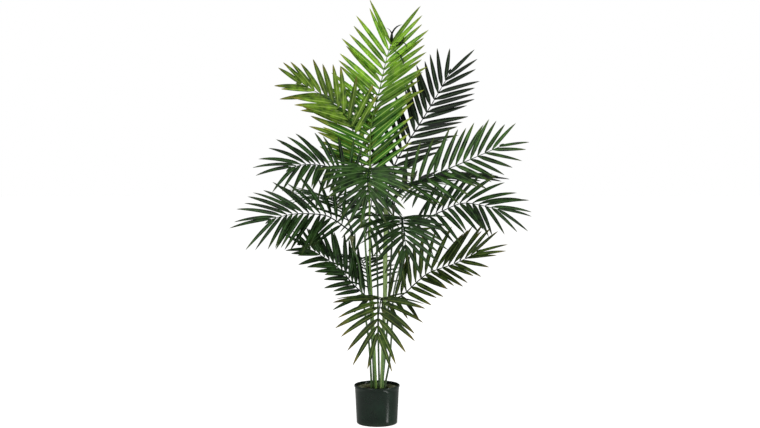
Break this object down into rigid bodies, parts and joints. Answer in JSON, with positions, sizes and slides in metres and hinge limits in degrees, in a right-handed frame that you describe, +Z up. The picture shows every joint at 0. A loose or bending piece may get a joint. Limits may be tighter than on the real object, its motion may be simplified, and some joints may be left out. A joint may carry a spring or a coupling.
{
  "type": "potted palm",
  "caption": "Young feather palm: a clump of slim stems and arching fronds of narrow leaflets, in a round dark-green nursery pot with a thin lip.",
  "frame": {"origin": "centre of the pot's flat underside, on the ground plane", "axes": "+Z up through the pot and stems; -Y towards the side that the brightest frond faces; +X to the right seen from there"},
  "size_m": [1.0349, 0.85, 1.5209],
  "materials": {
    "pot": "satin",
    "soil": "matte",
    "moss": "matte",
    "stem": "satin",
    "cane": "satin",
    "bright_leaf": "satin",
    "green_leaf": "satin",
    "dark_leaf": "satin"
  },
  "bodies": {
    "root": {"pot": "pot", "soil": "soil", "moss": "moss", "stem_1": "stem", "stem_2": "stem", "stem_3": "stem", "stem_4": "stem", "stem_5": "cane", "stem_6": "stem", "stem_7": "stem", "stem_8": "stem", "stem_9": "stem", "frond_1": "bright_leaf", "frond_2": "bright_leaf", "frond_3": "dark_leaf", "frond_4": "green_leaf", "frond_5": "dark_leaf", "frond_6": "green_leaf", "frond_7": "dark_leaf", "frond_8": "dark_leaf", "frond_9": "dark_leaf", "frond_10": "dark_leaf", "frond_11": "dark_leaf", "frond_12": "green_leaf", "frond_13": "dark_leaf", "frond_14": "green_leaf", "frond_15": "dark_leaf", "frond_16": "dark_leaf", "frond_17": "dark_leaf", "frond_18": "dark_leaf"}
  },
  "joints": []
}
